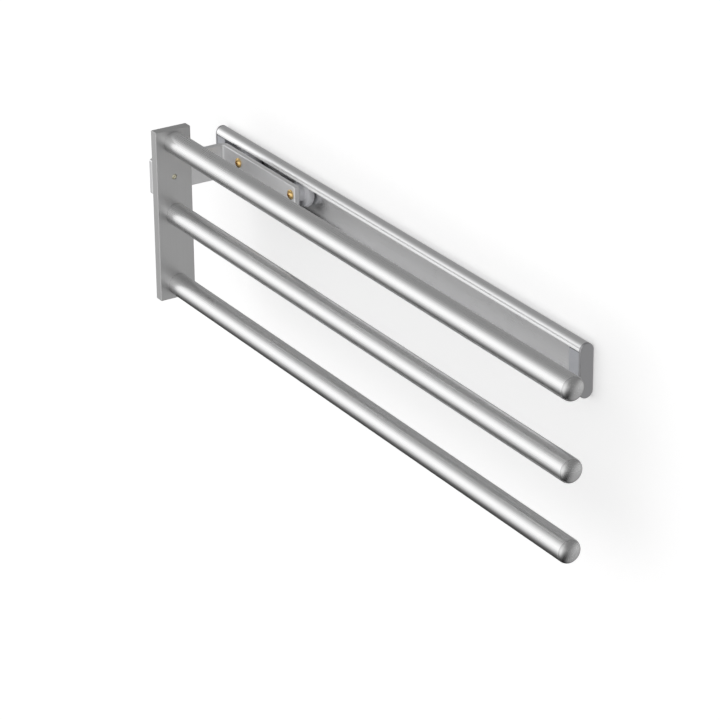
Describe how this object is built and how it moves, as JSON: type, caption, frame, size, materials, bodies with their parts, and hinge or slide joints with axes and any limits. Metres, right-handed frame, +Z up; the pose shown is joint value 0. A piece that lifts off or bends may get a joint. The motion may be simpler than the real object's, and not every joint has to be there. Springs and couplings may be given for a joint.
{
  "type": "pull-out towel rail",
  "caption": "Pull-out towel rail: a wall-mounted C-section rail with a roller carriage that carries upright-stacked, free-ended round bars on an L-shaped bracket.",
  "frame": {"origin": "centre of the wall rail's back face, on the wall", "axes": "+X along the rail and the bars, the way the carriage pulls out; +Y into the wall, square to the rail's back face; +Z up"},
  "size_m": [0.4409, 0.0633, 0.11],
  "materials": {
    "rail_aluminium": "satin anodised extrusion",
    "bar_aluminium": "bright satin anodised tube",
    "plate_aluminium": "satin anodised flat bar",
    "bracket_aluminium": "satin anodised flat bar",
    "cap_aluminium": "satin turned",
    "end_plate_aluminium": "satin anodised sheet",
    "plug_plastic": "moulded, blue-grey",
    "roller_plastic": "moulded acetal, light grey",
    "brass": "turned and polished",
    "steel": "zinc-plated"
  },
  "bodies": {
    "rail": {"wall_rail": "rail_aluminium", "front_end_plate": "end_plate_aluminium", "rear_end_plate": "end_plate_aluminium", "front_end_plug": "plug_plastic", "rear_end_plug": "plug_plastic"},
    "carriage": {"slide_bracket": "bracket_aluminium", "bar_plate": "plate_aluminium", "plate_screw": "brass", "arm_screws": "steel", "top_bar": "bar_aluminium", "top_bar_insert": "steel", "top_bar_screw": "steel", "top_bar_cap": "cap_aluminium", "middle_bar": "bar_aluminium", "middle_bar_insert": "steel", "middle_bar_screw": "steel", "middle_bar_cap": "cap_aluminium", "bottom_bar": "bar_aluminium", "bottom_bar_insert": "steel", "bottom_bar_screw": "steel", "bottom_bar_cap": "cap_aluminium", "rear_axle_sleeve": "steel", "rear_axle_screw": "brass", "front_axle_sleeve": "steel", "front_axle_screw": "brass", "lower_axle_sleeve": "steel", "lower_axle_screw": "brass"},
    "rear_roller_body": {"rear_roller": "roller_plastic"},
    "front_roller_body": {"front_roller": "roller_plastic"},
    "lower_roller_body": {"lower_roller": "roller_plastic"}
  },
  "joints": [
    {"name": "carriage_slide", "type": "slide", "parent": "rail", "child": "carriage", "axis": [1, 0, 0], "range_m": [-0.016, 0.266]},
    {"name": "rear_roller_spin", "type": "hinge", "parent": "carriage", "child": "rear_roller_body", "pos_m": [-0.1566, -0.0043, 0.005], "axis": [0, 1, 0], "range_deg": [-1610, 110]},
    {"name": "front_roller_spin", "type": "hinge", "parent": "carriage", "child": "front_roller_body", "pos_m": [-0.0952, -0.0043, 0.005], "axis": [0, 1, 0], "range_deg": [-1610, 110]},
    {"name": "lower_roller_spin", "type": "hinge", "parent": "carriage", "child": "lower_roller_body", "pos_m": [-0.1259, -0.0043, -0.005], "axis": [0, 1, 0], "range_deg": [-110, 1610]}
  ],
  "couplings": [
    {"joint": "rear_roller_spin", "follows": "carriage_slide", "rad_per_m": -105.26},
    {"joint": "front_roller_spin", "follows": "carriage_slide", "rad_per_m": -105.26},
    {"joint": "lower_roller_spin", "follows": "carriage_slide", "rad_per_m": 105.26}
  ]
}
